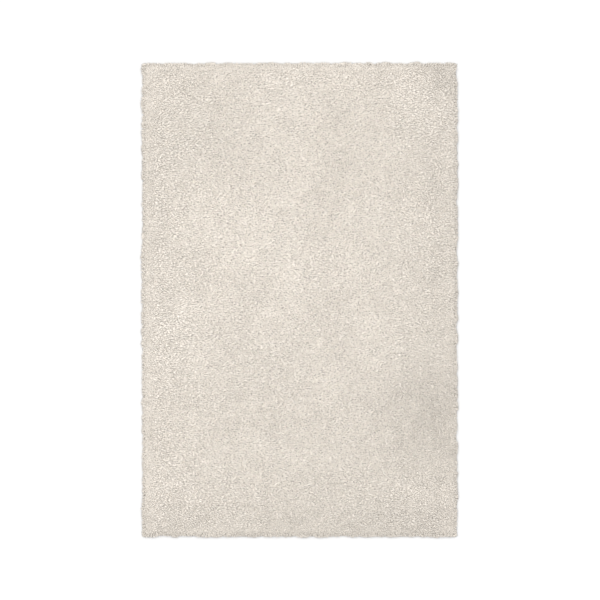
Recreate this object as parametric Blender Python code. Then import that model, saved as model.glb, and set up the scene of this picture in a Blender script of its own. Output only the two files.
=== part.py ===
"""A plain rectangular shag rug lying flat on a floor.

The rug is one closed solid: a flat underside, a lumpy top where the long pile bunches into tufts, and a
row of tapered pile locks round the rim that spill over the edge and come to rest on the floor.

Units are metres. +Z is up, +Y runs along the rug's length, and the origin is the middle of the underside.
"""

import math
import random

import bmesh
import bpy
from mathutils import Vector, noise

NAME = "shag_rug"

# Driving sizes
LENGTH = 1.800  # tip to tip of the pile, along Y
WIDTH = 1.200  # tip to tip of the pile, along X
HEIGHT = 0.029  # floor to the general top of the pile
LOCK_REACH = 0.013  # how far a middling rim lock stands out past the slab's edge

# The slab's top
TUFT_PITCH = 0.027  # from the middle of one bunch of pile to the next
TUFT_RELIEF = 0.0050  # how far a bunch rises or sinks
TUFT_SPREAD = 0.0060  # how far a bunch's middle strays sideways
SWELL_RELIEF = 0.0018  # broad rise and fall left by rolling and treading
SWELL_SIZE = 0.16
EDGE_HEIGHT = 0.60  # share of HEIGHT at which the top meets the rim
EDGE_RUN = 0.045  # how far in from the rim the top reaches its full height
CORNER_CUT = 0.014  # how much of each corner is cut off along either side

# Half sizes of the slab under the pile's tips
HALF_X = WIDTH / 2 - LOCK_REACH
HALF_Y = LENGTH / 2 - LOCK_REACH

# The locks at the rim
FAN_RADIUS = 0.032  # locks this near a corner turn towards it
REACH_SPREAD = 0.45  # share by which one lock's reach differs from the next
CORNER_REACH = 1.30  # a corner lock reaches this much further than one at a side
GIRTH_SPREAD = 0.10  # share by which one lock's width differs from the next
SIDE_LEAN = 0.0055  # how far a lock's tip strays along the rim
LOCK_STATIONS = (
    # reach as a share of the lock's own, widths as shares of the root's, heights as shares of the root's
    {"reach": 0.50, "side_width": 0.76, "corner_width": 0.80, "bottom": 0.10, "top": 0.72},
    {"reach": 1.00, "side_width": 0.42, "corner_width": 0.75, "bottom": 0.00, "top": 0.24},
)

# The yarn: a warm cream, soft and without gloss
PILE_COLOUR = (0.744, 0.686, 0.610, 1.0)
PILE_ROUGHNESS = 0.95

SEED = 41


def mix(at_none, at_full, share):
    """The value this share of the way from the first to the second."""
    return at_none + (at_full - at_none) * share


def clear_scene():
    for old in list(bpy.data.objects):
        bpy.data.objects.remove(old, do_unlink=True)


def pile_material():
    material = bpy.data.materials.new("pile")
    material.use_nodes = True
    shader = material.node_tree.nodes["Principled BSDF"]
    shader.inputs["Base Color"].default_value = PILE_COLOUR
    shader.inputs["Roughness"].default_value = PILE_ROUGHNESS
    shader.inputs["Metallic"].default_value = 0.0
    return material


def flat_slab():
    """A sheet of square cells with its sides run down to the floor and its corners cut."""
    mesh = bmesh.new()
    cells_x = round(2 * HALF_X / TUFT_PITCH)
    cells_y = round(2 * HALF_Y / TUFT_PITCH)
    bmesh.ops.create_grid(mesh, x_segments=cells_x, y_segments=cells_y, size=1.0)
    for vert in mesh.verts:
        vert.co = Vector((vert.co.x * HALF_X, vert.co.y * HALF_Y, HEIGHT))
    rim = [edge for edge in mesh.edges if edge.is_boundary]
    sides = bmesh.ops.extrude_edge_only(mesh, edges=rim)["geom"]
    for vert in (item for item in sides if isinstance(item, bmesh.types.BMVert)):
        vert.co.z = 0.0
    corners = [edge for edge in mesh.edges if is_corner_edge(edge)]
    bmesh.ops.bevel(mesh, geom=corners, offset=CORNER_CUT, segments=1, affect="EDGES")
    floor_rim = [edge for edge in mesh.edges if edge.is_boundary]
    bmesh.ops.contextual_create(mesh, geom=floor_rim)
    bmesh.ops.recalc_face_normals(mesh, faces=mesh.faces)
    return mesh


def is_corner_edge(edge):
    """Whether this is one of the slab's four upright edges."""
    top, bottom = (vert.co for vert in edge.verts)
    from_corner = math.hypot(HALF_X - abs(top.x), HALF_Y - abs(top.y))
    return from_corner < CORNER_CUT / 2 and abs(top.z - bottom.z) > HEIGHT / 2


def side_faces(mesh):
    return [face for face in mesh.faces if abs(face.normal.z) < 0.5]


def pile_height(point):
    """Height of the pile's top before its bunches: lower at the rim, with a broad swell."""
    from_rim = min(HALF_X - abs(point.x), HALF_Y - abs(point.y))
    run = min(1.0, max(0.0, from_rim / EDGE_RUN))
    crown = EDGE_HEIGHT + (1.0 - EDGE_HEIGHT) * math.sin(run * math.pi / 2)
    swell = noise.noise(Vector((point.x, point.y, 0.0)) / SWELL_SIZE)
    return HEIGHT * crown + 2 * SWELL_RELIEF * swell * run


def raise_pile(mesh, rng):
    """Turns the level top into bunches of pile. The underside stays flat."""
    rim = {vert for face in side_faces(mesh) for vert in face.verts}
    for vert in mesh.verts:
        if vert.co.z < HEIGHT / 2:
            continue
        rise = rng.uniform(-1, 1) * TUFT_RELIEF
        stray = (rng.uniform(-1, 1) * TUFT_SPREAD, rng.uniform(-1, 1) * TUFT_SPREAD)
        vert.co.z = pile_height(vert.co)
        if vert in rim:
            vert.co.z += rise * EDGE_HEIGHT
        else:
            vert.co += Vector((*stray, rise))


def outward(point):
    """The level direction in which pile falls here: straight out at a side, fanned at a corner."""
    past_x = max(0.0, abs(point.x) - (HALF_X - FAN_RADIUS))
    past_y = max(0.0, abs(point.y) - (HALF_Y - FAN_RADIUS))
    return Vector((math.copysign(past_x, point.x), math.copysign(past_y, point.y), 0.0)).normalized()


def grow_lock(mesh, root, rng):
    """Draws one side face out into a four-sided lock whose tip lies on the floor."""
    centre = root.calc_center_median()
    out = outward(centre)
    along = Vector((-out.y, out.x, 0.0))
    cornering = min(abs(out.x), abs(out.y)) / max(abs(out.x), abs(out.y))
    reach = LOCK_REACH * mix(1.0, CORNER_REACH, cornering) * (1 + rng.uniform(-1, 1) * REACH_SPREAD)
    lean = rng.uniform(-1, 1) * SIDE_LEAN
    girth = 1 + rng.uniform(-1, 1) * GIRTH_SPREAD
    base = Vector((centre.x, centre.y, 0.0))
    edge_height = max(vert.co.z for vert in root.verts)
    corners = [((vert.co - base).dot(along), vert.co.z > edge_height / 2) for vert in root.verts]
    face = root
    for station in LOCK_STATIONS:
        face = bmesh.ops.extrude_discrete_faces(mesh, faces=[face])["faces"][0]
        width = girth * mix(station["side_width"], station["corner_width"], cornering)
        middle = base + out * reach * station["reach"] + along * lean * station["reach"] ** 2
        for vert, (across, is_upper) in zip(face.verts, corners):
            vert.co = middle + along * across * width
            vert.co.z = edge_height * station["top" if is_upper else "bottom"]


def bearing(face):
    centre = face.calc_center_median()
    return math.atan2(centre.y, centre.x)


def grow_rim_locks(mesh, rng):
    for root in sorted(side_faces(mesh), key=bearing):
        grow_lock(mesh, root, rng)


def fit_to_size(mesh):
    """Stretches the rug by a hair so that its longest locks reach the stated length and width."""
    spans = [[vert.co[axis] for vert in mesh.verts] for axis in (0, 1)]
    for axis, (values, wanted) in enumerate(zip(spans, (WIDTH, LENGTH))):
        lowest, highest = min(values), max(values)
        for vert in mesh.verts:
            vert.co[axis] = (vert.co[axis] - (lowest + highest) / 2) * wanted / (highest - lowest)


def make_rug():
    rng = random.Random(SEED)
    mesh = flat_slab()
    raise_pile(mesh, rng)
    grow_rim_locks(mesh, rng)
    fit_to_size(mesh)
    bmesh.ops.triangulate(mesh, faces=mesh.faces, quad_method="SHORT_EDGE")
    data = bpy.data.meshes.new(NAME)
    mesh.to_mesh(data)
    mesh.free()
    data.materials.append(pile_material())
    data.shade_smooth()
    data.set_sharp_from_angle(angle=math.radians(50))
    rug = bpy.data.objects.new(NAME, data)
    bpy.context.scene.collection.objects.link(rug)


clear_scene()
make_rug()
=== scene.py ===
import math

import bmesh
import bpy
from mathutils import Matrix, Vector, noise


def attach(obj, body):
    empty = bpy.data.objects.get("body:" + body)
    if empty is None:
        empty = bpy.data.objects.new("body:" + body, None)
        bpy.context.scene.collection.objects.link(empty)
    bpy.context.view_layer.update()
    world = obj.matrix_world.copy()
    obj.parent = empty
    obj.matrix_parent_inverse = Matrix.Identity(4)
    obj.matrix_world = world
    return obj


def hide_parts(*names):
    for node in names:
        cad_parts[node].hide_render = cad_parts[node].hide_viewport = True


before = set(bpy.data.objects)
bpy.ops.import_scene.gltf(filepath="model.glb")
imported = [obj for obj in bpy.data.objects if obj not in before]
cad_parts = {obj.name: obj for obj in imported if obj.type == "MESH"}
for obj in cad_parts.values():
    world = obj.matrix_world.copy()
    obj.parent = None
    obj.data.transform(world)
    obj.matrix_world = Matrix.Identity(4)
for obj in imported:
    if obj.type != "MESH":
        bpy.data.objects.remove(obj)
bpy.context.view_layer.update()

bl_info = {
    "name": "Shag Rug",
    "version": (1, 0, 0),
    "blender": (4, 5, 0),
    "location": "View3D > Sidebar > Shag Rug",
    "description": "Dresses a cream shag rug with its backing, its dense lower pile and its long locks",
    "category": "Object",
}

SOLID = "shag_rug"
BODY = "root"
TINT_MAP = "OFBake"  # along U the shade of a lock's yarn, along V its root to its tip

TINY = 0.00001  # keeps a length or a share off zero

# The dense lower pile
BED_BRIM = 0.82  # its height at its edge, as a share of its height inside
BED_BRIM_RUN = 0.012  # how far in from its edge it reaches its full height
BED_LUMP = 0.10  # share by which its height wanders
BED_LUMP_SIZE = 0.022
BED_WRAP = 0.0022  # how far its skirt stands out past the backing
BED_CLEARANCE = 0.0004  # from its skirt to the floor and to the backing's edge
BED_SEAT = 0.0002  # from its underside to the backing's top

# The backing's edge
HEM_ROUNDING = 0.0006  # how far its edges are cut back
LEAST_ROUNDING = 0.4  # share of its radius that a corner keeps where it is set in
CORNER_STEPS = 6

# Where locks grow and where their tips go
SEED_STEP = 10  # from one strip's seed to the next
DRAWS = {  # what each draw of chance adds to its strip's seed
    "stray": 1.0, "reach": 2.0, "ragged": 3.0, "hang": 4.0,
    "girth": 5.0, "spin": 6.0, "tint": 7.0, "fall": 9.0,
}
ROOT_JITTER = 0.38  # how far a root strays, as a share of the pitch
ROOT_DEPTH = 0.75  # height at which locks part, as a share of the lower pile's
TUFT_SQUASH = 1.6  # how many times wider a tuft is than it is long
DRIFT_GAIN = 4.0  # stretches noise, which seldom strays far from its middle
SWIRL_SIZE = 0.045
SWEEP_SIZE = 0.35
SWEEP_REACH = 0.003  # how far whole areas of pile lean together
RIM_CALM = 0.35  # share by which a lock at the edge strays less
RIM_BUMP = 0.0046  # how far the rug's outline wanders in and out
RIM_BUMP_SIZE = 0.038
TIP_SPREAD = (-0.0016, 0.0008)  # how much less or more one lock at the rim reaches
OVERREACH = 1.45  # how far locks at the rim are sent, as a share of where they are stopped
CORNER_OVERREACH = 0.45  # how much further than that at a corner
OUTWARD_POWER = 1.6  # how late the outward lean sets in
CORNER_SHARPNESS = 0.6  # the less, the sharper the outline's corners

# How high locks stand and how they fall
RAY_FROM = 1.0  # height from which the solid's top is felt for
RAGGED_SPREAD = (-1.0, 0.6)  # more locks end below the pile's top than above it
PARTING = 0.4  # how much lower a tip ends, as a share of its draw to its tuft
RIM_ROOT = 0.003  # height at which locks part at the very edge
RIM_ROOT_RUN = 0.016  # how far in from the edge they part at their full height
ARCH = 1.15  # how steeply a standing lock starts
FALL_POWER = 1.5  # how close to the edge locks start to fall
FALL_DRAW = 0.0012  # how much less a fallen lock reaches out
FALL_ARCH = (0.016, 0.060)  # how steeply the lowest and the highest fallen lock start
HANG_POWER = 1.6  # how many more fallen locks end low than high
BOW = (1.35, 0.85)  # how late a standing and a fallen lock lean over: 1 is evenly

# A lock's own shape and its place on the map
GIRTH_SPREAD = (0.75, 1.2)
HALF_GIRTH = 0.55  # a three-sided lock's radius, as a share of its width
TIP_POWER = 7.0  # how late a lock narrows
FLAT_START = 0.1  # share of its length over which it keeps one direction
FLOOR_GAP = 0.0003  # the lowest that any point of a lock lies
FAR_OUT = -10.0  # past anything on the rug
MAP_MARGIN = 0.015
MAP_SPAN = 0.97
MAP_STRIP = (0.0035, 0.005)  # half the width and length of a lock's ring on the map

# How light the pile is: 0 is the dark yarn and 1 the light. Random tone, with painted light and shade in
# places and painted shade at the rim
MIDDLE_TINT = 0.66
OWN_TINT = 0.08
TUFT_TINT = 0.08
BUNCH_TINT = 0.04
CLOUD_TINT = 0.04
CLOUD_SIZE = 0.22
# Painted shade: locks grow darker towards the rug's edge, where the pile slopes down into shade
RIM_PAINTED_SHADE = -0.62
RIM_PAINTED_SHADE_POWER = 1.15
SHADE_REACH = 1.6  # how far a place of painted light or shade fades out, as a share of its half size

# Surfaces. Each relief is a strength and a height
SPECULAR_LEVEL = 0.2
SHEEN_ROUGHNESS = 0.6
FLOOR_ROUGHNESS = 0.9
YARN_ROUGHNESS = 0.92
YARN_SHEEN = 0.25
YARN_STREAKS = (260.0, 5.0, 0.0)  # how fine its streaks are, across and along the map
YARN_NOISE = (0.3, 0.7)  # the noise at which its streaks are darkest and lightest
YARN_GRAIN = (0.88, 1.08)  # what its darkest and lightest streak do to its colour
YARN_SHADED = 0.6  # how far from its root towards its tip a lock carries painted shade
YARN_TWIST = (700.0, 8.0, 0.0)  # how fine its twist is, across and along the map
YARN_WAVE = {"Scale": 0.35, "Distortion": 1.5, "Detail": 1.0}
YARN_RELIEF = (0.45, 0.0004)
BED_ROUGHNESS = 0.95
BED_STRAY = 0.006  # how far the lower pile's mottling is stirred
BED_STIR = 120.0  # how finely
BED_SQUASH = (1.0, 1.6, 0.3)  # its cells are wider than they are long, and tall
BED_GRAIN = 170.0  # how many of its cells go to a metre
BED_CELL = (0.05, 0.65)  # how far from its middle a cell starts to darken and is darkest
BED_PALE = 0.985  # its lightest tone, as a share of the light yarn's
BED_CREASE_SHADE = 0.62  # its painted crease shade, as a share of the dark yarn's
BED_CREASE_SHADE_POWER = 0.26  # the less, the narrower its creases of painted shade
BED_RELIEF = (1.0, 0.0045)
WEAVE_ROUGHNESS = 0.85
WEAVE_PITCH = (("X", 0.0042), ("Y", 0.0050))
WEAVE_SHADE = 0.62  # the backing's darkest tone, as a share of its colour
WEAVE_STREAKS = (240.0, 9.0, 1.0)
WEAVE_MIX = (0.6, 0.5)  # how much its tapes and its streaks lighten it
WEAVE_RELIEF = (0.7, 0.0006)

CAMERA_REACH = 100.0

# What differs between the three kinds of strip. PILE_INPUTS and LockSizes say what each input means
BAND_LOCKS = {
    "Rim Belt": 9.0, "Segments": 2, "Girth Share": 1.0, "Bluntness": 1.4,
    "Fall": 0.5, "Rest": 0.0006, "Hang": 0.018,
}
RIM_LOCKS = {
    "Rim Belt": 0.020, "Pitch": (0.0047, 0.0047, 0.0), "Segments": 3, "Girth Share": 1.0, "Bluntness": 2.0,
    "Fall": 1.2, "Rest": 0.0006, "Hang": 0.018,
}
HEM_LOCKS = {
    "Rim Belt": 0.005, "Pitch": (0.0036, 0.0036, 0.0), "Segments": 3, "Girth Share": 1.15, "Bluntness": 2.2,
    "Fall": 12.0, "Rest": -0.0035, "Hang": 0.008,
}

# Painted light and shade: these places stand for the pile's lay catching more light or less
# Soft lighter and darker places in the pile: where each lies across and along the rug, its
# half width and half length, and how much lighter it is
PAINTED_SHADE_PLACES = (
    (0.57, -0.15, 0.15, 1.10, -0.17),
    (0.50, -0.42, 0.20, 0.20, -0.36),
    (0.30, -0.72, 0.36, 0.30, -0.12),
    (0.00, -0.90, 0.80, 0.13, -0.20),
    (-0.57, -0.87, 0.14, 0.14, -0.14),
    (0.56, 0.86, 0.12, 0.12, -0.34),
    (0.45, -0.87, 0.28, 0.12, -0.12),
    (-0.05, -0.84, 0.10, 0.10, -0.12),
    (-0.36, 0.22, 0.22, 0.34, 0.12),
    (-0.06, 0.28, 0.34, 0.42, 0.17),
    (0.00, 0.86, 0.46, 0.22, 0.13),
    (-0.46, -0.34, 0.16, 0.34, 0.10),
)


class RugSizes(bpy.types.PropertyGroup):
    """Sizes of the cloth and its pile."""

    backing_width: bpy.props.FloatProperty(
        name="Backing Width", description="Width of the woven backing, across the rug",
        default=1.171, min=0.1, unit="LENGTH",
    )
    backing_length: bpy.props.FloatProperty(
        name="Backing Length", description="Length of the woven backing, along the rug",
        default=1.767, min=0.1, unit="LENGTH",
    )
    tip_reach: bpy.props.FloatProperty(
        name="Tip Reach", description="How far the pile at the rim reaches past the edge of the backing",
        default=0.0105, min=0.0, unit="LENGTH",
    )
    corner_radius: bpy.props.FloatProperty(
        name="Corner Radius", description="Radius at which the backing's corners are cut",
        default=0.006, min=0.0, unit="LENGTH",
    )
    backing_thickness: bpy.props.FloatProperty(
        name="Backing Thickness", description="Thickness of the woven backing away from its hem",
        default=0.0022, min=0.0005, unit="LENGTH",
    )
    hem_width: bpy.props.FloatProperty(
        name="Hem Width", description="Width of the backing's folded edge",
        default=0.022, min=0.0, unit="LENGTH",
    )
    hem_step: bpy.props.FloatProperty(
        name="Hem Step", description="How far the folded edge stands below the underside",
        default=0.0007, min=0.0, unit="LENGTH",
    )
    pile_height: bpy.props.FloatProperty(
        name="Pile Height", description="From the floor to the pile's general top",
        default=0.029, min=0.005, unit="LENGTH",
    )
    bed_height: bpy.props.FloatProperty(
        name="Bed Height", description="Height of the dense lower pile",
        default=0.018, min=0.0, unit="LENGTH",
    )
    bed_step: bpy.props.FloatProperty(
        name="Bed Step", description="Size of one cell of the lower pile's mesh",
        default=0.0155, min=0.002, unit="LENGTH",
    )


class LockSizes(bpy.types.PropertyGroup):
    """Sizes of the locks of yarn and how they lean."""

    bands: bpy.props.IntProperty(
        name="Bands", description="How many lengthwise strips the pile is made in",
        default=6, min=1,
    )
    pitch: bpy.props.FloatVectorProperty(
        name="Pitch", description="From one lock's root to the next, across and along the rug",
        default=(0.0056, 0.0044, 0.0), subtype="TRANSLATION",
    )
    girth: bpy.props.FloatProperty(
        name="Girth", description="Width of a lock at its thickest",
        default=0.0041, min=0.0005, unit="LENGTH",
    )
    tuft: bpy.props.FloatProperty(
        name="Tuft Size", description="Width of the small tufts in which locks hold together",
        default=0.013, min=0.002, unit="LENGTH",
    )
    tuft_pull: bpy.props.FloatProperty(
        name="Tuft Pull", description="How far a lock's tip is drawn to the middle of its tuft",
        default=0.20, min=0.0, max=1.0, subtype="FACTOR",
    )
    bunch: bpy.props.FloatProperty(
        name="Bunch Size", description="Width of the larger bunches into which tufts fall",
        default=0.036, min=0.005, unit="LENGTH",
    )
    bunch_pull: bpy.props.FloatProperty(
        name="Bunch Pull", description="How far a lock's tip is drawn to the middle of its bunch",
        default=0.03, min=0.0, max=1.0, subtype="FACTOR",
    )
    lumpiness: bpy.props.FloatProperty(
        name="Lumpiness", description="Share of the solid's lumps that the pile's top takes up",
        default=0.35, min=0.0, max=1.0, subtype="FACTOR",
    )
    swirl: bpy.props.FloatProperty(
        name="Swirl", description="How far neighbouring tips stray together",
        default=0.0015, min=0.0, unit="LENGTH",
    )
    stray: bpy.props.FloatVectorProperty(
        name="Stray", description="How far each tip strays by itself, across and along the rug",
        default=(0.0090, 0.0040, 0.0), subtype="TRANSLATION",
    )
    lay: bpy.props.FloatVectorProperty(
        name="Lay", description="How far the whole pile leans, across and along the rug",
        default=(0.010, -0.001, 0.0), subtype="TRANSLATION",
    )
    ragged: bpy.props.FloatProperty(
        name="Raggedness", description="How much one lock's height differs from the next",
        default=0.0028, min=0.0, unit="LENGTH",
    )
    rim_run: bpy.props.FloatProperty(
        name="Rim Run", description="How far in from the edge the pile starts to fall outwards",
        default=0.034, min=0.005, unit="LENGTH",
    )
    seed: bpy.props.IntProperty(
        name="Seed", description="Seed of the chance in the pile",
        default=7, min=0,
    )


class RugColours(bpy.types.PropertyGroup):
    """Colours of the yarn, the backing and the floor."""

    light: bpy.props.FloatVectorProperty(
        name="Light Yarn", description="The lightest yarn at its tip",
        default=(0.886, 0.828, 0.757), min=0.0, max=1.0, subtype="COLOR",
    )
    dark: bpy.props.FloatVectorProperty(
        name="Dark Yarn", description="The darkest yarn at its tip",
        default=(0.604, 0.560, 0.503), min=0.0, max=1.0, subtype="COLOR",
    )
    # Painted shade: a lock is darker towards its root, where its neighbours shade it
    root_shade: bpy.props.FloatProperty(
        name="Root Shade", description="Share of its tip's brightness that a lock keeps at its root",
        default=0.88, min=0.0, max=1.0, subtype="FACTOR",
    )
    backing: bpy.props.FloatVectorProperty(
        name="Backing", description="The backing's woven yarn",
        default=(0.62, 0.55, 0.44), min=0.0, max=1.0, subtype="COLOR",
    )
    floor: bpy.props.FloatVectorProperty(
        name="Floor", description="The plain floor under the rug",
        default=(0.60, 0.60, 0.60), min=0.0, max=1.0, subtype="COLOR",
    )


class StageSizes(bpy.types.PropertyGroup):
    """The floor, the light and the camera."""

    view_width: bpy.props.FloatProperty(
        name="View Width", description="Width of floor that the camera takes in",
        default=2.2625, min=0.1, unit="LENGTH",
    )
    aim: bpy.props.FloatVectorProperty(
        name="Aim", description="The point of the floor in the middle of the picture",
        default=(0.0018, -0.0005, 0.0), subtype="TRANSLATION",
    )
    lens: bpy.props.FloatProperty(
        name="Lens", description="Focal length, long enough to flatten the view",
        default=200.0, min=1.0, unit="CAMERA",
    )
    ambient: bpy.props.FloatProperty(
        name="Ambient", description="Brightness of the white room all round",
        default=0.565, min=0.0,
    )
    key_strength: bpy.props.FloatProperty(
        name="Key Strength", description="Brightness of the large soft light above",
        default=3.73, min=0.0,
    )
    key_softness: bpy.props.FloatProperty(
        name="Key Softness", description="How wide the light above looks from the rug",
        default=math.radians(50), min=0.0, max=math.pi, subtype="ANGLE",
    )
    key_from: bpy.props.FloatVectorProperty(
        name="Key From", description="The direction from which the light above comes",
        default=(-0.05, 0.09, 1.0), subtype="DIRECTION",
    )
    floor_size: bpy.props.FloatProperty(
        name="Floor Size", description="Side of the square floor",
        default=40.0, min=1.0, unit="LENGTH",
    )


class RugSettings(bpy.types.PropertyGroup):
    """All that can be changed on the rug."""

    sizes: bpy.props.PointerProperty(type=RugSizes)
    locks: bpy.props.PointerProperty(type=LockSizes)
    colours: bpy.props.PointerProperty(type=RugColours)
    stage: bpy.props.PointerProperty(type=StageSizes)


def settings():
    return bpy.context.scene.shag_rug


def backing_half():
    """Half the backing's width and length."""
    sizes = settings().sizes
    return Vector((sizes.backing_width / 2, sizes.backing_length / 2, 0.0))


def step_of(operation, swapped=False):
    """A method that works out this operation on its wire and another value."""
    def method(wire, other):
        values = (other, wire) if swapped else (wire, other)
        return wire.sketch.work_out(operation, *values)
    return method


class Wire:
    """What a node gives out. Arithmetic on it adds the nodes that work out the result."""

    def __init__(self, sketch, socket):
        self.sketch = sketch
        self.socket = socket

    __add__ = step_of("ADD")
    __sub__ = step_of("SUBTRACT")
    __rsub__ = step_of("SUBTRACT", swapped=True)
    __mul__ = step_of("MULTIPLY")
    __truediv__ = step_of("DIVIDE")
    __rtruediv__ = step_of("DIVIDE", swapped=True)
    __pow__ = step_of("POWER")

    def level(self):
        return self * (1.0, 1.0, 0.0)

    def length(self):
        return self.sketch.work_out("LENGTH", self)

    def direction(self):
        return self.sketch.work_out("NORMALIZE", self)

    def part(self, axis):
        return self.sketch.wire("ShaderNodeSeparateXYZ", {0: self}, output=axis)


def is_vector(value):
    if isinstance(value, Wire):
        return value.socket.type in ("VECTOR", "RGBA")
    return isinstance(value, tuple)


class Sketch:
    """Writes a node tree: each call adds one node, feeds its inputs and gives back what it makes."""

    COLUMN = 190
    ROWS = 8
    ROW = 180

    def __init__(self, tree):
        self.tree = tree
        self.count = 0

    def add(self, kind, inputs=None, **choices):
        node = self.tree.nodes.new(kind)
        node.location = (self.COLUMN * (self.count // self.ROWS), -self.ROW * (self.count % self.ROWS))
        self.count += 1
        for name, value in choices.items():
            setattr(node, name, value)
        for key, value in (inputs or {}).items():
            self.feed(node.inputs[key], value)
        return node

    def feed(self, socket, value):
        if isinstance(value, Wire):
            self.tree.links.new(value.socket, socket)
        else:
            socket.default_value = value

    def wire(self, kind, inputs=None, output=0, **choices):
        return Wire(self, self.add(kind, inputs, **choices).outputs[output])

    def work_out(self, operation, *values):
        """One step of arithmetic, on vectors if any value is one. A number scales a vector."""
        vectors = [is_vector(value) for value in values]
        if operation == "MULTIPLY" and vectors == [True, False]:
            return self.wire("ShaderNodeVectorMath", {0: values[0], "Scale": values[1]}, operation="SCALE")
        kind = "ShaderNodeVectorMath" if any(vectors) else "ShaderNodeMath"
        output = "Value" if operation == "LENGTH" else 0
        return self.wire(kind, dict(enumerate(values)), output=output, operation=operation)

    def least(self, one, other):
        return self.work_out("MINIMUM", one, other)

    def most(self, one, other):
        return self.work_out("MAXIMUM", one, other)

    def mix(self, at_none, at_full, share):
        inputs = {"Factor": share, "A": at_none, "B": at_full}
        return self.wire("ShaderNodeMix", inputs, output="Result", data_type="FLOAT", clamp_factor=False)

    def combine(self, x, y, z):
        return self.wire("ShaderNodeCombineXYZ", {0: x, 1: y, 2: z})

    def square(self, side):
        """The level vector with this much along both axes."""
        return self.combine(side, side, 0.0)

    def place(self):
        return self.wire("GeometryNodeInputPosition")

    def chance(self, spread, seed):
        """A number of each point's own, from the spread's low end to its high end."""
        node = self.add("FunctionNodeRandomValue", data_type="FLOAT")
        for index, value in ((2, spread[0]), (3, spread[1]), (8, seed)):
            self.feed(node.inputs[index], value)
        return Wire(self, node.outputs[1])

    def chance_level(self, reach, seed):
        """A level vector of each point's own, up to reach either way along both axes."""
        node = self.add("FunctionNodeRandomValue", data_type="FLOAT_VECTOR")
        for index, value in ((0, (-1.0, -1.0, 0.0)), (1, (1.0, 1.0, 0.0)), (8, seed)):
            self.feed(node.inputs[index], value)
        return Wire(self, node.outputs[0]) * reach

    def noise(self, place, scale, detail, output=0, **choices):
        inputs = {"Vector": place, "Scale": scale, "Detail": detail}
        return self.wire("ShaderNodeTexNoise", inputs, output=output, **choices)

    def remap(self, value, seen, wanted, output=0, **choices):
        """Carries one range of values over to another."""
        inputs = {"Value": value, "From Min": seen[0], "From Max": seen[1]}
        inputs.update({"To Min": wanted[0], "To Max": wanted[1]})
        return self.wire("ShaderNodeMapRange", inputs, output=output, **choices)


def set_modifier_inputs(modifier, values):
    """Sets a Geometry Nodes modifier's inputs by their sockets' identifiers."""
    sockets = {item.name: item.identifier for item in modifier.node_group.interface.items_tree}
    for name, value in values.items():
        modifier[sockets[name]] = value


# How the pile's locks are grown


# The settings that the pile's node tree takes as they are, and then its other inputs
SIZE_INPUTS = ("corner_radius", "pile_height", "tip_reach")
LOCK_INPUTS = (
    "pitch", "girth", "tuft", "tuft_pull", "bunch", "bunch_pull", "lumpiness", "swirl", "stray", "lay",
    "ragged", "rim_run",
)
PILE_INPUTS = (
    ("Band Middle", "Float", "Where the band's middle lies across the rug"),
    ("Band Width", "Float", "Width of the band"),
    ("Backing Half", "Vector", "Half the backing's width and length"),
    ("Rim Belt", "Float", "How far in from the backing's edge locks grow"),
    ("Segments", "Int", "How many lengths a lock is cut into"),
    ("Girth Share", "Float", "Width of a lock, as a share of the pile's own"),
    ("Bluntness", "Float", "How near its tip a lock keeps its width: 1 is an even taper"),
    ("Root Height", "Float", "Height at which locks part"),
    ("Fall", "Float", "How readily locks at the edge fall to the floor"),
    ("Rest", "Float", "How low a fallen lock may end: below 0, it lies on the floor"),
    ("Hang", "Float", "How much higher a fallen lock may end"),
    ("Form", "Object", "The solid whose top the pile's tips follow"),
    ("Yarn", "Material", "The yarn's material"),
    ("Seed", "Int", "Seed of the chance in the pile"),
)


def plain_inputs():
    """The name, value and description of each setting that the pile's node tree takes as it is."""
    for group, keys in ((settings().sizes, SIZE_INPUTS), (settings().locks, LOCK_INPUTS)):
        for key in keys:
            setting = group.bl_rna.properties[key]
            value = getattr(group, key)
            yield setting.name, tuple(value) if setting.is_array else value, setting.description


def pile_tree():
    """Grows locks from a field of roots: each leans to its tuft, and at the rim they fall to the floor."""
    tree = bpy.data.node_groups.new("pile_locks", "GeometryNodeTree")
    sockets = list(PILE_INPUTS)
    for name, value, description in plain_inputs():
        sockets.append((name, "Vector" if is_vector(value) else "Float", description))
    for name, kind, description in sockets:
        kind = "NodeSocket" + kind
        tree.interface.new_socket(name, in_out="INPUT", socket_type=kind, description=description)
    tree.interface.new_socket("Pile", in_out="OUTPUT", socket_type="NodeSocketGeometry")
    sketch = Sketch(tree)
    group = sketch.add("NodeGroupInput")
    given = {name: Wire(sketch, group.outputs[name]) for name, _, _ in sockets}
    roots = scatter_roots(sketch, given)
    held, facts = hold(sketch, roots, root_facts(sketch, given))
    blank, ring = lock_blank(sketch, given["Segments"])
    spread = sketch.wire("GeometryNodeInstanceOnPoints", {"Points": held, "Instance": blank})
    locks = sketch.wire("GeometryNodeRealizeInstances", {0: spread})
    bent, along = bend_locks(sketch, given, locks, ring, facts)
    mapped = map_locks(sketch, bent, ring, along, facts["tint"])
    smooth = sketch.wire("GeometryNodeSetShadeSmooth", {"Geometry": mapped})
    dyed = sketch.wire("GeometryNodeSetMaterial", {"Geometry": smooth, "Material": given["Yarn"]})
    sketch.add("NodeGroupOutput", {0: dyed})
    return tree


def hold(sketch, geometry, facts):
    """Works out facts on the points of this geometry and keeps them, whatever becomes of it."""
    node = sketch.add("GeometryNodeCaptureAttribute", {"Geometry": geometry}, domain="POINT")
    for name, value in facts.items():
        node.capture_items.new("VECTOR" if is_vector(value) else "FLOAT", name)
        sketch.feed(node.inputs[name], value)
    return Wire(sketch, node.outputs["Geometry"]), {name: Wire(sketch, node.outputs[name]) for name in facts}


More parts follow.
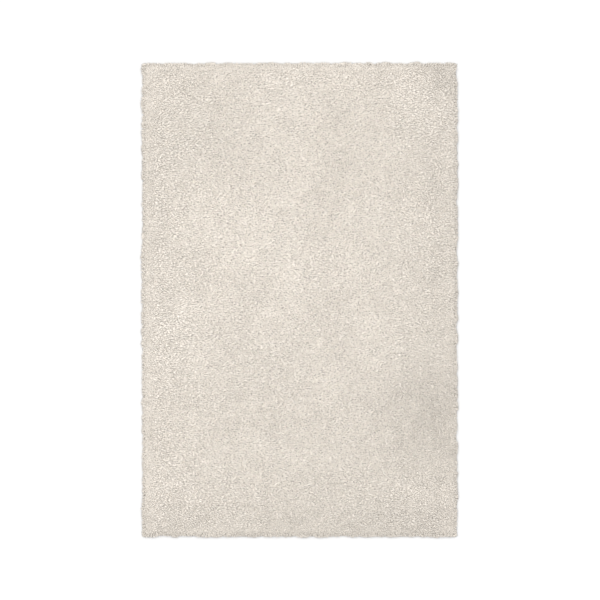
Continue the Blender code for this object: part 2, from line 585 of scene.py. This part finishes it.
def scatter_roots(sketch, given):
    """Rows of roots over the band, each row set off from the next, with those off the backing left out."""
    counts, spans, steps = [], [], []
    sizes = (given["Band Width"], given["Backing Half"].part("Y") * 2.0)
    for size, axis in zip(sizes, "XY"):
        count = sketch.work_out("ROUND", size / given["Pitch"].part(axis))
        step = size / count
        counts.append(count)
        spans.append(size - step)
        steps.append(step)
    grid = sketch.wire(
        "GeometryNodeMeshGrid",
        {"Size X": spans[0], "Size Y": spans[1], "Vertices X": counts[0], "Vertices Y": counts[1]},
    )
    row = sketch.work_out("ROUND", sketch.place().part("Y") / steps[1])
    odd = sketch.work_out("FLOORED_MODULO", row, 2.0)
    offset = (odd - 0.5) * (steps[0] * 0.5)
    jitter = sketch.chance_level(given["Pitch"] * ROOT_JITTER, given["Seed"])
    shift = sketch.combine(given["Band Middle"] + offset, 0.0, 0.0) + jitter
    scattered = sketch.wire("GeometryNodeSetPosition", {"Geometry": grid, "Offset": shift})
    past_corner = past_inset(sketch, given["Backing Half"], sketch.square(given["Corner Radius"])).length()
    outside = sketch.work_out("GREATER_THAN", past_corner, given["Corner Radius"])
    past_belt = past_inset(sketch, given["Backing Half"], sketch.square(given["Rim Belt"])).length()
    inside = sketch.work_out("LESS_THAN", past_belt, TINY)
    inputs = {"Geometry": scattered, "Selection": sketch.most(outside, inside)}
    return sketch.wire("GeometryNodeDeleteGeometry", inputs, domain="POINT")


def past_inset(sketch, half, inset):
    """How far a point lies past a rectangle set in from the backing's edge, along both axes."""
    level = sketch.work_out("ABSOLUTE", sketch.place()).level()
    return sketch.most(level - (half - inset), (0.0, 0.0, 0.0))


def keep_inside(sketch, point, half, radius):
    """Draws a level point back to a rectangle with rounded corners, where it lies past it."""
    inner = half - sketch.square(radius)
    level = sketch.work_out("ABSOLUTE", point)
    past = sketch.most(level - inner, (0.0, 0.0, 0.0))
    share = sketch.least(radius / sketch.most(past.length(), TINY), 1.0)
    kept = sketch.least(level, inner) + past * share
    return kept * sketch.work_out("SIGN", point)


def pull_to_cell(sketch, place, size, pull):
    """(the level vector that draws a tip towards the middle of its cell, a chance number of that cell)."""
    squashed = place * (1.0, TUFT_SQUASH, 1.0)
    inputs = {"Vector": squashed, "Scale": 1.0 / size}
    cells = sketch.add("ShaderNodeTexVoronoi", inputs, voronoi_dimensions="2D").outputs
    way = (Wire(sketch, cells["Position"]) - squashed) * (1.0, 1.0 / TUFT_SQUASH, 1.0)
    return way.level() * pull, Wire(sketch, cells["Color"]).part("X")


def drift(sketch, place, size, reach, detail=1.0):
    """A level vector that changes slowly from place to place, mostly by less than reach either way."""
    colour = sketch.noise(place, 1.0 / size, detail, output="Color", noise_dimensions="2D")
    return (colour - (0.5, 0.5, 0.5)) * (DRIFT_GAIN, DRIFT_GAIN, 0.0) * reach


def root_facts(sketch, given):
    """What each root settles for its lock: where its tip goes, how high, how thick and how light."""
    place, seed = sketch.place(), given["Seed"]
    run = sketch.square(given["Rim Run"])
    past = past_inset(sketch, given["Backing Half"], run) / run
    nearness = sketch.least(past.length(), 1.0)
    readiness = given["Fall"] * sketch.chance((0.0, 1.0), seed + DRAWS["fall"])
    falling = sketch.least(nearness ** FALL_POWER * readiness, 1.0)
    hang = sketch.chance((0.0, 1.0), seed + DRAWS["hang"]) ** HANG_POWER
    to_tuft, tuft_chance = pull_to_cell(sketch, place, given["Tuft Size"], given["Tuft Pull"])
    to_bunch, bunch_chance = pull_to_cell(sketch, place, given["Bunch Size"], given["Bunch Pull"])
    free = free_lean(sketch, given, place, nearness, (to_tuft, to_bunch))
    lean = rim_lean(sketch, given, place, past, nearness, falling, free)
    top = top_height(sketch, given, place, to_tuft)
    start = root_height(sketch, given, nearness)
    standing_rise = (top - start) * ARCH
    fallen_rise = sketch.mix(*FALL_ARCH, hang)
    chances = ((tuft_chance, TUFT_TINT), (bunch_chance, BUNCH_TINT))
    return {
        "root": place,
        "lean": lean,
        "start": start,
        "rise": sketch.mix(standing_rise, fallen_rise, falling),
        "tip": sketch.mix(top, hang * given["Hang"] + given["Rest"], falling),
        "bow": sketch.mix(*BOW, falling),
        "girth": given["Girth"] * given["Girth Share"] * sketch.chance(GIRTH_SPREAD, seed + DRAWS["girth"]),
        "spin": sketch.chance((0.0, math.tau), seed + DRAWS["spin"]),
        "tint": lock_tone_and_painted_shade(sketch, seed, place, nearness, chances),
    }


def free_lean(sketch, given, place, nearness, pulls):
    """How a lock leans away from the edge: with the pile, to its tuft and bunch, and by itself."""
    swirl = drift(sketch, place, SWIRL_SIZE, given["Swirl"])
    sweep = drift(sketch, place, SWEEP_SIZE, SWEEP_REACH)
    own = sketch.chance_level(given["Stray"], given["Seed"] + DRAWS["stray"])
    shared = given["Lay"]
    for push in (*pulls, swirl, sweep):
        shared = shared + push
    return shared * (1.0 - nearness) + own * (nearness * -RIM_CALM + 1.0)


def rim_lean(sketch, given, place, past, nearness, falling, free):
    """The whole lean of a lock: near the edge also outwards, but no further than the rug's outline."""
    out = (past * sketch.work_out("SIGN", place)).direction()
    across, along = past.part("X"), past.part("Y")
    cornering = sketch.least(across, along) / sketch.most(sketch.most(across, along), TINY)
    bumps = drift(sketch, place, RIM_BUMP_SIZE, RIM_BUMP, detail=2.0).part("X")
    limit = given["Tip Reach"] + (bumps + sketch.chance(TIP_SPREAD, given["Seed"] + DRAWS["reach"]))
    limit = sketch.most(limit, 0.0)
    reach = limit * (cornering * CORNER_OVERREACH + OVERREACH)
    wanted = place + (free + out * (reach * nearness ** OUTWARD_POWER))
    limit = falling * -FALL_DRAW + limit
    outline = given["Backing Half"] + sketch.square(limit)
    radius = (given["Corner Radius"] + limit) * CORNER_SHARPNESS
    return keep_inside(sketch, wanted.level(), outline, radius) - place.level()


def top_height(sketch, given, place, to_tuft):
    """How high a standing lock's tip ends, over the solid's lumps and lower where tufts part."""
    form = sketch.wire("GeometryNodeObjectInfo", {"Object": given["Form"]}, output="Geometry")
    above = place + (0.0, 0.0, RAY_FROM)
    ray = {"Target Geometry": form, "Source Position": above, "Ray Direction": (0.0, 0.0, -1.0)}
    hit = sketch.wire("GeometryNodeRaycast", {**ray, "Ray Length": 2 * RAY_FROM}, output="Hit Position")
    crown = sketch.mix(given["Pile Height"], hit.part("Z"), given["Lumpiness"])
    ragged = given["Raggedness"] * sketch.chance(RAGGED_SPREAD, given["Seed"] + DRAWS["ragged"])
    return crown + (ragged + to_tuft.length() * -PARTING)


def root_height(sketch, given, nearness):
    """How high a lock parts from the lower pile, which slopes down at the very edge."""
    inwards = sketch.least((1.0 - nearness) * given["Rim Run"], RIM_ROOT_RUN)
    share = inwards ** 0.5 / RIM_ROOT_RUN ** 0.5
    return share * (given["Root Height"] - RIM_ROOT) + RIM_ROOT


def lock_tone_and_painted_shade(sketch, seed, place, nearness, chances):
    """How light a lock's yarn is, from 0 to 1: chance of its own and its tuft's, painted light and shade in
    soft places, and painted shade at the rim.
    """
    tint = sketch.chance((-OWN_TINT, OWN_TINT), seed + DRAWS["tint"]) + MIDDLE_TINT
    for chance, amount in chances:
        tint = tint + (chance - 0.5) * amount
    tint = tint + drift(sketch, place, CLOUD_SIZE, CLOUD_TINT, detail=3.0).part("X")
    # Painted light and shade in soft places of the pile
    for across, along, half_width, half_length, shade in PAINTED_SHADE_PLACES:
        away = ((place - (across, along, 0.0)) * (1 / half_width, 1 / half_length, 0.0)).length()
        fade = sketch.remap(away, (0.0, SHADE_REACH), (shade, 0.0), interpolation_type="SMOOTHERSTEP")
        tint = tint + fade
    # Painted shade, darker towards the edge
    tint = nearness ** RIM_PAINTED_SHADE_POWER * RIM_PAINTED_SHADE + tint
    return sketch.least(sketch.most(tint, 0.0), 1.0)


def lock_blank(sketch, segments):
    """A three-sided spike one unit tall, and where its points are before it is bent."""
    spike = sketch.wire(
        "GeometryNodeMeshCone",
        {"Vertices": 3, "Side Segments": segments, "Radius Top": 0.0, "Radius Bottom": 1.0, "Depth": 1.0},
        fill_type="NGON",
    )
    kept, facts = hold(sketch, spike, {"blank": sketch.place()})
    return kept, facts["blank"]


def bend_locks(sketch, given, locks, blank, held):
    """Lays each spike along its lock's own curve. Gives the locks, and how far along each point lies."""
    along = 1.0 - (1.0 - blank.part("Z")) ** given["Bluntness"]
    bow, rise, lean = held["bow"], held["rise"], held["lean"]
    fall = held["tip"] - held["start"] - rise
    height = held["start"] + (rise * along + fall * (along * along))
    spine = held["root"].level() + (lean * along ** bow + sketch.combine(0.0, 0.0, height))

    climb = rise + fall * along * 2.0
    run = lean * (bow * sketch.most(along, FLAT_START) ** (bow - 1.0))
    tangent = run + sketch.combine(0.0, 0.0, climb)
    side = sketch.work_out("CROSS_PRODUCT", (0.0, 0.0, 1.0), lean).direction()
    over = sketch.work_out("CROSS_PRODUCT", tangent, side).direction()

    inputs = {"Vector": blank.level().direction(), "Angle": held["spin"]}
    turned = sketch.wire("ShaderNodeVectorRotate", inputs, rotation_type="Z_AXIS")
    taper = sketch.most(1.0 - along ** TIP_POWER, 0.0) ** 0.5
    radius = held["girth"] * HALF_GIRTH * taper
    place = spine + (side * turned.part("X") + over * turned.part("Y")) * radius
    above_floor = sketch.most(place, (FAR_OUT, FAR_OUT, FLOOR_GAP))
    bent = sketch.wire("GeometryNodeSetPosition", {"Geometry": locks, "Position": above_floor})
    return bent, along


def map_locks(sketch, locks, blank, along, tint):
    """Unrolls each lock on its own narrow strip of the map: its tint across, its length up."""
    ring = blank.level().direction()
    across = ring.part("Y") * MAP_STRIP[0] + (tint * MAP_SPAN + MAP_MARGIN)
    up = ring.part("X") * MAP_STRIP[1] + (along * MAP_SPAN + MAP_MARGIN)
    inputs = {"Geometry": locks, "Name": TINT_MAP, "Value": sketch.combine(across, up, 0.0)}
    return sketch.wire("GeometryNodeStoreNamedAttribute", inputs, data_type="FLOAT2", domain="CORNER")


# Materials


def blank_material(name, roughness, sheen=0.0):
    """A material with a Principled shader, and a sketch to draw its nodes with."""
    material = bpy.data.materials.new(name)
    material.use_nodes = True
    shader = material.node_tree.nodes["Principled BSDF"]
    shader.inputs["Roughness"].default_value = roughness
    shader.inputs["Specular IOR Level"].default_value = SPECULAR_LEVEL
    shader.inputs["Sheen Weight"].default_value = sheen
    shader.inputs["Sheen Roughness"].default_value = SHEEN_ROUGHNESS
    return material, Sketch(material.node_tree), shader


def colour_mix(sketch, at_none, at_full, share, blend="MIX"):
    node = sketch.add("ShaderNodeMix", data_type="RGBA", blend_type=blend)
    for index, value in ((0, share), (6, at_none), (7, at_full)):
        sketch.feed(node.inputs[index], value)
    return Wire(sketch, node.outputs[2])


def shaded(colour, share):
    """A plain colour, darkened to this share of its brightness."""
    return (*(level * share for level in colour), 1.0)


def emboss(sketch, shader, height, relief):
    """Makes light fall on the surface as if it stood up by this height."""
    inputs = {"Height": height, "Strength": relief[0], "Distance": relief[1]}
    sketch.feed(shader.inputs["Normal"], sketch.wire("ShaderNodeBump", inputs))


def yarn_material():
    """Soft cut yarn: lighter and darker locks, with painted shade towards the root, and a faint twist."""
    colours = settings().colours
    material, sketch, shader = blank_material("cream_yarn", YARN_ROUGHNESS, YARN_SHEEN)
    place = sketch.wire("ShaderNodeUVMap", output="UV", uv_map=TINT_MAP)
    tip = colour_mix(sketch, shaded(colours.dark, 1.0), shaded(colours.light, 1.0), place.part("X"))
    streaks = sketch.noise(place * YARN_STREAKS, 1.0, 2.0)
    grain = sketch.remap(streaks, YARN_NOISE, YARN_GRAIN)
    # Painted shade: darker towards the root, where the neighbouring locks shade it
    root_to_tip = (colours.root_shade, 1.0)
    painted_root_ramp = sketch.remap(place.part("Y"), (0.0, YARN_SHADED), root_to_tip, interpolation_type="SMOOTHSTEP")
    shade = grain * painted_root_ramp
    grey = sketch.combine(shade, shade, shade)
    sketch.feed(shader.inputs["Base Color"], colour_mix(sketch, tip, grey, 1.0, blend="MULTIPLY"))
    wave = {"Vector": place * YARN_TWIST, **YARN_WAVE}
    twist = sketch.wire(
        "ShaderNodeTexWave", wave, output="Fac", wave_type="BANDS", bands_direction="DIAGONAL"
    )
    emboss(sketch, shader, twist, YARN_RELIEF)
    return material


def bed_material():
    """Dense lower pile: the light yarn's tone, mottled at the size of a lock, with painted shade in the
    creases between cells.
    """
    colours = settings().colours
    material, sketch, shader = blank_material("lower_yarn", BED_ROUGHNESS)
    place = sketch.wire("ShaderNodeTexCoord", output="Object")
    strayed = place + sketch.noise(place, BED_STIR, 2.0, output="Color") * BED_STRAY
    inputs = {"Vector": strayed * BED_SQUASH, "Scale": BED_GRAIN}
    cells = sketch.wire("ShaderNodeTexVoronoi", inputs, output="Distance")
    mottle = sketch.remap(cells, BED_CELL, (1.0, 0.0))
    pale = shaded(colours.light, BED_PALE)
    crease_shade = shaded(colours.dark, BED_CREASE_SHADE)
    # Painted shade in the creases; the same cells also give the bump
    sketch.feed(shader.inputs["Base Color"], colour_mix(sketch, crease_shade, pale, mottle ** BED_CREASE_SHADE_POWER))
    emboss(sketch, shader, mottle, BED_RELIEF)
    return material


def backing_material():
    """A plain weave of flat tapes, two ways, with a little unevenness from tape to tape."""
    colours = settings().colours
    material, sketch, shader = blank_material("woven_backing", WEAVE_ROUGHNESS)
    place = sketch.wire("ShaderNodeTexCoord", output="Object")
    across, along = (
        sketch.work_out("SINE", place.part(axis) * (math.tau / pitch)) for axis, pitch in WEAVE_PITCH
    )
    weave = across * along * 0.5 + 0.5
    uneven = sketch.noise(place * WEAVE_STREAKS, 1.0, 2.0)
    dark = shaded(colours.backing, WEAVE_SHADE)
    light = shaded(colours.backing, 1.0)
    share = weave * WEAVE_MIX[0] + uneven * WEAVE_MIX[1]
    sketch.feed(shader.inputs["Base Color"], colour_mix(sketch, dark, light, share))
    emboss(sketch, shader, weave, WEAVE_RELIEF)
    return material


def floor_material():
    material, _, shader = blank_material("pale_floor", FLOOR_ROUGHNESS)
    shader.inputs["Base Color"].default_value = shaded(settings().colours.floor, 1.0)
    return material


# Meshes


def add_object(name, mesh, material):
    """Puts a finished bmesh in the scene as an object."""
    data = bpy.data.meshes.new(name)
    mesh.to_mesh(data)
    mesh.free()
    data.materials.append(material)
    thing = bpy.data.objects.new(name, data)
    bpy.context.scene.collection.objects.link(thing)
    return thing


def finish_piece(piece):
    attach(piece, BODY)
    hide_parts(SOLID)


def rounded_outline(half, radius):
    """Points round a rectangle with rounded corners, anticlockwise."""
    points = []
    for quarter in range(4):
        sign_x = 1 if quarter in (0, 3) else -1
        sign_y = 1 if quarter in (0, 1) else -1
        for step in range(CORNER_STEPS + 1):
            angle = math.tau / 4 * (quarter + step / CORNER_STEPS)
            points.append(Vector((
                sign_x * (half.x - radius) + radius * math.cos(angle),
                sign_y * (half.y - radius) + radius * math.sin(angle),
                0.0,
            )))
    return points


def ring_at(mesh, half, radius, inset, height):
    """A ring of vertices on the outline, set in by this much, at this height."""
    inner = Vector((half.x - inset, half.y - inset, 0.0))
    outline = rounded_outline(inner, max(radius - inset, radius * LEAST_ROUNDING))
    return [mesh.verts.new((point.x, point.y, height)) for point in outline]


def bridge(mesh, lower, upper):
    count = len(lower)
    for i in range(count):
        j = (i + 1) % count
        mesh.faces.new((lower[i], lower[j], upper[j], upper[i]))


def past_corner(point, half, radius):
    """How far a point lies past the middles of a rounded rectangle's corners, along both axes."""
    return Vector((max(0.0, abs(point.x) - half.x + radius), max(0.0, abs(point.y) - half.y + radius), 0.0))


def rounded_off(place, half, radius):
    """The place itself, or where it lies past a rounded corner, the corner's nearest point."""
    past = past_corner(place, half, radius)
    if past.length <= radius:
        return place
    past = past.normalized() * radius
    return Vector((
        math.copysign(half.x - radius + past.x, place.x),
        math.copysign(half.y - radius + past.y, place.y),
        0.0,
    ))


def drawn_in(point, half, radius, inset):
    """A point of a rounded rectangle's outline, moved this far in."""
    past = past_corner(point, half, radius)
    out = Vector((math.copysign(past.x, point.x), math.copysign(past.y, point.y), 0.0)).normalized()
    return point - out * inset


def bed_top(place, half):
    """Height of the dense lower pile: lower at its edge, and lumpy."""
    height = settings().sizes.bed_height
    brim = height * BED_BRIM
    run = min(1.0, min(half.x - abs(place.x), half.y - abs(place.y)) / BED_BRIM_RUN)
    lump = noise.noise(Vector((place.x, place.y, 0.0)) / BED_LUMP_SIZE)
    return (brim + (height - brim) * run) * (1 + BED_LUMP * lump)


def run_down(mesh, half, radius, inset, height):
    """Draws the mesh's open edge in by this much and down to this height, with a wall between."""
    rim = [edge for edge in mesh.edges if edge.is_boundary]
    drawn = bmesh.ops.extrude_edge_only(mesh, edges=rim)["geom"]
    for vert in (item for item in drawn if isinstance(item, bmesh.types.BMVert)):
        vert.co = drawn_in(vert.co, half, radius, inset)
        vert.co.z = height


class RUG_OT_backing(bpy.types.Operator):
    """Weave the backing, with its edge folded under for a hem"""

    bl_idname = "shag_rug.backing"
    bl_label = "Backing"

    def execute(self, context):
        sizes = settings().sizes
        mesh = bmesh.new()
        rings = [
            ring_at(mesh, backing_half(), sizes.corner_radius, inset, height)
            for inset, height in (
                (sizes.hem_width + sizes.hem_step, sizes.hem_step),
                (sizes.hem_width, 0.0),
                (HEM_ROUNDING, 0.0),
                (0.0, HEM_ROUNDING),
                (0.0, sizes.backing_thickness - HEM_ROUNDING),
                (HEM_ROUNDING, sizes.backing_thickness),
            )
        ]
        for lower, upper in zip(rings, rings[1:]):
            bridge(mesh, lower, upper)
        mesh.faces.new(rings[0][::-1])
        mesh.faces.new(rings[-1])
        bmesh.ops.recalc_face_normals(mesh, faces=mesh.faces)
        finish_piece(add_object("woven_backing", mesh, backing_material()))
        return {"FINISHED"}


class RUG_OT_lower_pile(bpy.types.Operator):
    """Lay the dense lower pile, in which no lock shows by itself"""

    bl_idname = "shag_rug.lower_pile"
    bl_label = "Lower Pile"

    def execute(self, context):
        sizes = settings().sizes
        half = backing_half() + Vector((BED_WRAP, BED_WRAP, 0.0))
        radius = sizes.corner_radius + BED_WRAP
        cells_x, cells_y = (round(2 * side / sizes.bed_step) for side in half.xy)
        mesh = bmesh.new()
        bmesh.ops.create_grid(mesh, x_segments=cells_x, y_segments=cells_y, size=1.0)
        for vert in mesh.verts:
            vert.co = rounded_off(Vector((vert.co.x * half.x, vert.co.y * half.y, 0.0)), half, radius)
            vert.co.z = bed_top(vert.co, half)
        run_down(mesh, half, radius, 0.0, BED_CLEARANCE)
        run_down(mesh, half, radius, BED_WRAP - BED_CLEARANCE, BED_CLEARANCE)
        run_down(mesh, half, radius, BED_WRAP - BED_CLEARANCE, sizes.backing_thickness + BED_SEAT)
        bmesh.ops.contextual_create(mesh, geom=[edge for edge in mesh.edges if edge.is_boundary])
        bmesh.ops.recalc_face_normals(mesh, faces=mesh.faces)
        piece = add_object("lower_pile", mesh, bed_material())
        piece.data.shade_smooth()
        finish_piece(piece)
        return {"FINISHED"}


def pile_strips():
    """Each lengthwise band, the rim and the hem: its name and what the node tree is told of it alone."""
    half, bands = backing_half(), settings().locks.bands
    width = 2 * half.x / bands
    for band in range(bands):
        middle = -half.x + width * (band + 0.5)
        yield f"pile_band_{band + 1}", {**BAND_LOCKS, "Band Middle": middle, "Band Width": width}
    for name, kind in (("pile_rim", RIM_LOCKS), ("pile_hem", HEM_LOCKS)):
        yield name, {**kind, "Band Middle": 0.0, "Band Width": 2 * half.x}


def shared_inputs(yarn):
    """What the pile's node tree is told of all strips alike."""
    inputs = {name: value for name, value, _ in plain_inputs()}
    inputs["Backing Half"] = tuple(backing_half())
    inputs["Root Height"] = settings().sizes.bed_height * ROOT_DEPTH
    inputs["Form"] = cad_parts[SOLID]
    inputs["Yarn"] = yarn
    return inputs


def grow(name, tree, inputs):
    """Runs the node tree once and keeps what it makes as an object with a plain mesh."""
    grower = bpy.data.objects.new(name + "_roots", bpy.data.meshes.new(name + "_roots"))
    bpy.context.scene.collection.objects.link(grower)
    modifier = grower.modifiers.new("Locks", "NODES")
    modifier.node_group = tree
    set_modifier_inputs(modifier, inputs)
    graph = bpy.context.evaluated_depsgraph_get()
    mesh = bpy.data.meshes.new_from_object(grower.evaluated_get(graph))
    mesh.name = name
    bpy.data.objects.remove(grower)
    if not mesh.polygons:
        raise RuntimeError(f"{name} grew no locks")
    piece = bpy.data.objects.new(name, mesh)
    bpy.context.scene.collection.objects.link(piece)
    return piece


class RUG_OT_pile(bpy.types.Operator):
    """Grow the long pile, one lengthwise band after another, and lay it on the backing"""

    bl_idname = "shag_rug.pile"
    bl_label = "Pile"

    def execute(self, context):
        shared = shared_inputs(yarn_material())
        tree = pile_tree()
        for number, (name, own) in enumerate(pile_strips()):
            seed = settings().locks.seed + SEED_STEP * number
            piece = grow(name, tree, {**shared, **own, "Seed": seed})
            finish_piece(piece)
        return {"FINISHED"}


def lay_floor(size):
    mesh = bmesh.new()
    bmesh.ops.create_grid(mesh, x_segments=1, y_segments=1, size=size / 2)
    add_object("floor", mesh, floor_material())


def light_room(scene, stage):
    """A white room all round and one large soft light above."""
    world = bpy.data.worlds.new("studio")
    world.use_nodes = True
    background = world.node_tree.nodes["Background"]
    background.inputs["Color"].default_value = (1.0, 1.0, 1.0, 1.0)
    background.inputs["Strength"].default_value = stage.ambient
    scene.world = world
    lamp = bpy.data.lights.new("key_light", "SUN")
    lamp.angle = stage.key_softness
    lamp.energy = stage.key_strength
    key = bpy.data.objects.new("key_light", lamp)
    key.rotation_euler = Vector(stage.key_from).to_track_quat("Z", "Y").to_euler()
    scene.collection.objects.link(key)


def aim_camera(scene, stage):
    """A long lens straight above, at the height from which it takes in the wanted width."""
    camera = bpy.data.cameras.new("overhead")
    camera.lens = stage.lens
    camera.clip_end = CAMERA_REACH
    distance = stage.view_width / 2 / math.tan(camera.angle / 2)
    eye = bpy.data.objects.new("overhead", camera)
    eye.location = (stage.aim[0], stage.aim[1], distance)
    scene.collection.objects.link(eye)
    scene.camera = eye
    scene.view_settings.view_transform = "Standard"


class RUG_OT_stage(bpy.types.Operator):
    """Set the plain floor, the soft light and the camera straight above"""

    bl_idname = "shag_rug.stage"
    bl_label = "Stage"

    def execute(self, context):
        stage = settings().stage
        lay_floor(stage.floor_size)
        light_room(context.scene, stage)
        aim_camera(context.scene, stage)
        return {"FINISHED"}


class RUG_PT_panel(bpy.types.Panel):
    """The rug's sizes and colours, and a button for each of its pieces"""

    bl_idname = "RUG_PT_panel"
    bl_label = "Shag Rug"
    bl_space_type = "VIEW_3D"
    bl_region_type = "UI"
    bl_category = "Shag Rug"

    def draw(self, context):
        rug = context.scene.shag_rug
        for title, group in (
            ("Cloth", rug.sizes), ("Locks", rug.locks), ("Colours", rug.colours), ("Stage", rug.stage)
        ):
            box = self.layout.box()
            box.label(text=title)
            for name in group.__annotations__:
                box.prop(group, name)
        for operator in OPERATORS:
            self.layout.operator(operator.bl_idname)


GROUPS = (RugSizes, LockSizes, RugColours, StageSizes, RugSettings)
OPERATORS = (RUG_OT_backing, RUG_OT_lower_pile, RUG_OT_pile, RUG_OT_stage)


def register():
    for made in (*GROUPS, *OPERATORS, RUG_PT_panel):
        bpy.utils.register_class(made)
    bpy.types.Scene.shag_rug = bpy.props.PointerProperty(type=RugSettings)


def unregister():
    del bpy.types.Scene.shag_rug
    for made in reversed((*GROUPS, *OPERATORS, RUG_PT_panel)):
        bpy.utils.unregister_class(made)


def main():
    register()
    bpy.ops.shag_rug.backing()
    bpy.ops.shag_rug.lower_pile()
    bpy.ops.shag_rug.pile()
    bpy.ops.shag_rug.stage()


if __name__ == "__main__":
    main()
